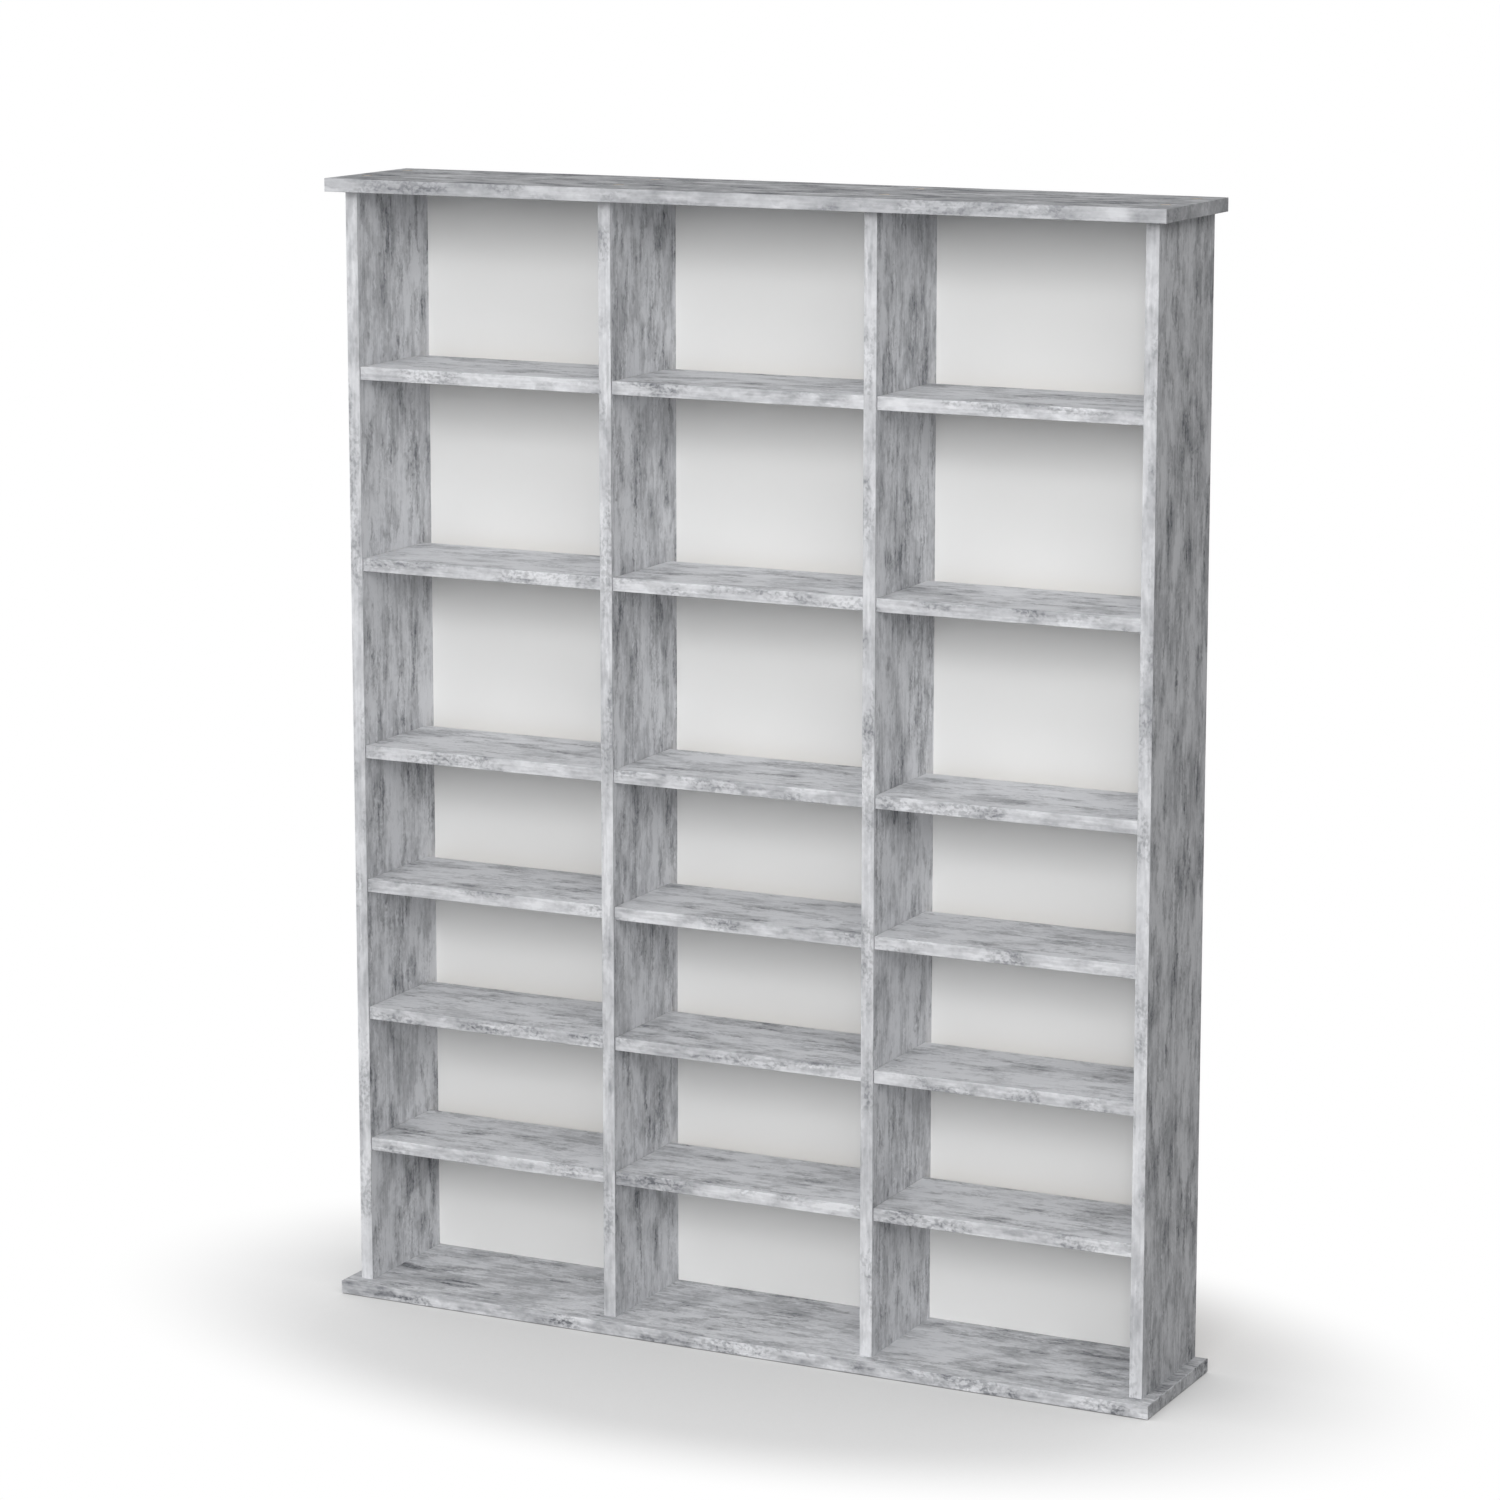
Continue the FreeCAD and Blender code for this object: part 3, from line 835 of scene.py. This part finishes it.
class RACK_OT_nails(RackOperator, bpy.types.Operator):
    """Flat-headed nails along the upright edges of the back sheets"""

    bl_idname = "rack.nails"
    bl_label = "Nails"

    def execute(self, context):
        fittings = context.scene.rack_fittings
        low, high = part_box("back_sheet_nails")
        head = fittings.nail_head / 2
        heights = np.linspace(low[Z] + head, high[Z] - head, fittings.nails_per_edge)
        places = []
        for name in BACK_SHEETS:
            sheet_low, sheet_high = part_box(name)
            inset = fittings.nail_edge_distance
            for x in (sheet_low[X] + inset, sheet_high[X] - inset):
                places += [(x, high[Y], height) for height in heights]
        skin = copies(nail_skin(fittings, high[Y] - low[Y]), places, FROM_REAR)
        add_piece("headed_nails", skin, "back_sheet_nails", zinc_plated_steel())
        return {"FINISHED"}


class RACK_OT_stage(RackOperator, bpy.types.Operator):
    """Pale floor, soft light and the camera"""

    bl_idname = "rack.stage"
    bl_label = "Floor, light and camera"

    def execute(self, context):
        make_floor()
        make_world()
        make_lamps()
        make_camera()
        context.scene.view_settings.view_transform = "Standard"
        return {"FINISHED"}


# Stage


# Half the floor's width, and how far away things still hide the sky from it, in metres
FLOOR_HALF_WIDTH = 60.0
SKY_REACH = 10.0
# How bright the floor's glow in view is where nothing hides the sky; the glow is painted shadow,
# darker where the rack hides the sky
PAINTED_SKY_SHADE_STRENGTH = 0.61
# Where the floor's shade starts to fade, as a share of the way to the oval's edge
FADE_START = 0.65


def seen_directly(tree):
    """1 for what the camera sees itself, in gloss and through glass, and 0 for other light."""
    path = add(tree, "ShaderNodeLightPath")
    inputs = {0: path.outputs["Is Camera Ray"], 1: path.outputs["Is Glossy Ray"]}
    seen = add(tree, "ShaderNodeMath", inputs, operation="MAXIMUM")
    inputs = {0: seen, 1: path.outputs["Is Transmission Ray"]}
    return add(tree, "ShaderNodeMath", inputs, operation="MAXIMUM")


def make_floor():
    """A wide flat floor just below the base board. In an oval round the base board it keeps the
    rack's
    soft shadow: the lamps' real shadow and a painted shadow, a glow that is darker where the rack
    hides the sky. It fades to white towards the oval's edge."""
    stage = bpy.context.scene.rack_stage
    material, tree, place = start_material("studio_floor")
    # Painted shadow: a glow seen only directly, which is as much darker as the rack hides the sky
    # from the floor
    sky = add(tree, "ShaderNodeAmbientOcclusion", {"Distance": SKY_REACH}, samples=16)
    inputs = {"Color": sky.outputs["Color"], "Strength": PAINTED_SKY_SHADE_STRENGTH}
    painted_sky_shade = add(tree, "ShaderNodeEmission", inputs)
    lit = add(tree, "ShaderNodeBsdfDiffuse", {"Color": stage.floor_shade})
    near = add(tree, "ShaderNodeAddShader", {0: painted_sky_shade, 1: lit})
    # Inside the oval the floor in view stays a little grey even where nothing shades it: painted
    # shade that fades to white towards the oval's edge
    inputs = {0: place, 1: (MM / stage.shade_width, MM / stage.shade_depth, 0)}
    on_oval = add(tree, "ShaderNodeVectorMath", inputs, operation="MULTIPLY")
    share = add(tree, "ShaderNodeVectorMath", {0: on_oval}, operation="LENGTH")
    inputs = {"Value": share, "From Min": FADE_START, "From Max": 1.0}
    far = add(tree, "ShaderNodeMapRange", inputs, interpolation_type="SMOOTHSTEP")
    white = add(tree, "ShaderNodeEmission", {"Strength": 1.0})
    shown = add(tree, "ShaderNodeMixShader", {0: far, 1: near, 2: white})
    floor_paint = add(tree, "ShaderNodeBsdfDiffuse", {"Color": stage.floor})
    both = add(tree, "ShaderNodeMixShader", {0: seen_directly(tree), 1: floor_paint, 2: shown})
    add(tree, "ShaderNodeOutputMaterial", {"Surface": both})

    side = np.array([-FLOOR_HALF_WIDTH, FLOOR_HALF_WIDTH])
    corners = [(x, y, -stage.floor_drop) for y in side for x in side]
    mesh = bpy.data.meshes.new("studio_floor")
    mesh.from_pydata(corners, [], [(0, 1, 3, 2)])
    mesh.materials.append(material)
    floor = bpy.data.objects.new("studio_floor", mesh)
    bpy.context.scene.collection.objects.link(floor)
    floor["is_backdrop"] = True


def make_world():
    """White where it is seen, and a dimmer even light for everything else."""
    stage = bpy.context.scene.rack_stage
    world = bpy.data.worlds.new("studio_light")
    world.use_nodes = True
    tree = world.node_tree
    tree.nodes.clear()
    dim = add(tree, "ShaderNodeBackground", {"Color": (1, 1, 1, 1), "Strength": stage.ambient})
    white = add(tree, "ShaderNodeBackground", {"Color": (1, 1, 1, 1), "Strength": 1.0})
    both = add(tree, "ShaderNodeMixShader", {0: seen_directly(tree), 1: dim, 2: white})
    add(tree, "ShaderNodeOutputWorld", {"Surface": both})
    bpy.context.scene.world = world


class Softbox(NamedTuple):
    """A square softbox that faces the rack's middle. Its azimuth is 0 in front and 90 on the
    right, angles are in degrees, lengths in metres and power in watts."""

    name: str
    azimuth: float
    elevation: float
    distance: float
    size: float
    power: float


SOFTBOXES = (
    Softbox("softbox_key", azimuth=15, elevation=19, distance=12.0, size=5.0, power=850),
    Softbox("softbox_high", azimuth=-28, elevation=52, distance=12.0, size=5.0, power=320),
    Softbox("softbox_right", azimuth=40, elevation=30, distance=12.0, size=5.0, power=285),
    Softbox("softbox_left", azimuth=-80, elevation=10, distance=10.0, size=5.0, power=388),
    Softbox("softbox_rear", azimuth=180, elevation=5, distance=5.0, size=2.5, power=90),
)


def make_lamps():
    """The softboxes round the rack."""
    middle = (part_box("base_board")[0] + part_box("top_board")[1]) / 2
    for box in SOFTBOXES:
        azimuth = math.radians(box.azimuth)
        elevation = math.radians(box.elevation)
        flat = math.cos(elevation)
        height = math.sin(elevation)
        outward = Vector((math.sin(azimuth) * flat, -math.cos(azimuth) * flat, height))
        lamp = bpy.data.lights.new(box.name, "AREA")
        lamp.shape = "SQUARE"
        lamp.size = box.size
        lamp.energy = box.power
        holder = bpy.data.objects.new(box.name, lamp)
        holder.location = middle + outward * box.distance
        holder.rotation_euler = (-outward).to_track_quat("-Z", "Y").to_euler()
        bpy.context.scene.collection.objects.link(holder)


# The camera's place in metres, its turn to the left and downward in degrees, its shift as a
# share of the frame, and how far it sees in metres
CAMERA_PLACE = (2.261, -4.603, 1.675)
CAMERA_YAW = 26.33
CAMERA_PITCH = 10.12
CAMERA_SHIFT = -0.05
CAMERA_REACH = 200.0


def make_camera():
    """The camera at the photographed angle: a little above the top board, from the right."""
    stage = bpy.context.scene.rack_stage
    data = bpy.data.cameras.new("camera")
    data.lens = stage.lens
    data.shift_y = CAMERA_SHIFT
    data.clip_end = CAMERA_REACH
    camera = bpy.data.objects.new("camera", data)
    camera.location = CAMERA_PLACE
    camera.rotation_euler = (math.radians(90 - CAMERA_PITCH), 0, math.radians(CAMERA_YAW))
    bpy.context.scene.collection.objects.link(camera)
    bpy.context.scene.camera = camera


GROUPS = (RackDecor, RackFinishes, RackFittings, RackStage)
OPERATORS = (
    RACK_OT_base_and_top,
    RACK_OT_uprights,
    RACK_OT_shelves,
    RACK_OT_back_sheets,
    RACK_OT_shelf_pins,
    RACK_OT_dowels,
    RACK_OT_screws,
    RACK_OT_cover_caps,
    RACK_OT_nails,
    RACK_OT_stage,
)


class RACK_PT_looks(bpy.types.Panel):
    """Lists the rack's values and operators in the 3D view's sidebar."""

    bl_label = "CD and DVD rack"
    bl_idname = "RACK_PT_looks"
    bl_space_type = "VIEW_3D"
    bl_region_type = "UI"
    bl_category = "Rack"

    def draw(self, context):
        for operator in OPERATORS:
            self.layout.operator(operator.bl_idname)
        scene = context.scene
        for group in (scene.rack_decor, scene.rack_finishes, scene.rack_fittings, scene.rack_stage):
            box = self.layout.box()
            for name in group.__annotations__:
                box.prop(group, name)


def register():
    for cls in (*GROUPS, *OPERATORS, RACK_PT_looks):
        bpy.utils.register_class(cls)
    bpy.types.Scene.rack_decor = PointerProperty(type=RackDecor)
    bpy.types.Scene.rack_finishes = PointerProperty(type=RackFinishes)
    bpy.types.Scene.rack_fittings = PointerProperty(type=RackFittings)
    bpy.types.Scene.rack_stage = PointerProperty(type=RackStage)


def unregister():
    del bpy.types.Scene.rack_decor
    del bpy.types.Scene.rack_finishes
    del bpy.types.Scene.rack_fittings
    del bpy.types.Scene.rack_stage
    for cls in (RACK_PT_looks, *reversed(OPERATORS), *reversed(GROUPS)):
        bpy.utils.unregister_class(cls)


def main():
    """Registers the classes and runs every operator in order."""
    register()
    for operator in OPERATORS:
        group, name = operator.bl_idname.split(".")
        getattr(getattr(bpy.ops, group), name)()
    boxes = {"cad": cad_bounds, "visual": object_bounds()}
    boxes = {name: [list(corner) for corner in box] for name, box in boxes.items()}


if __name__ == "__main__":
    main()
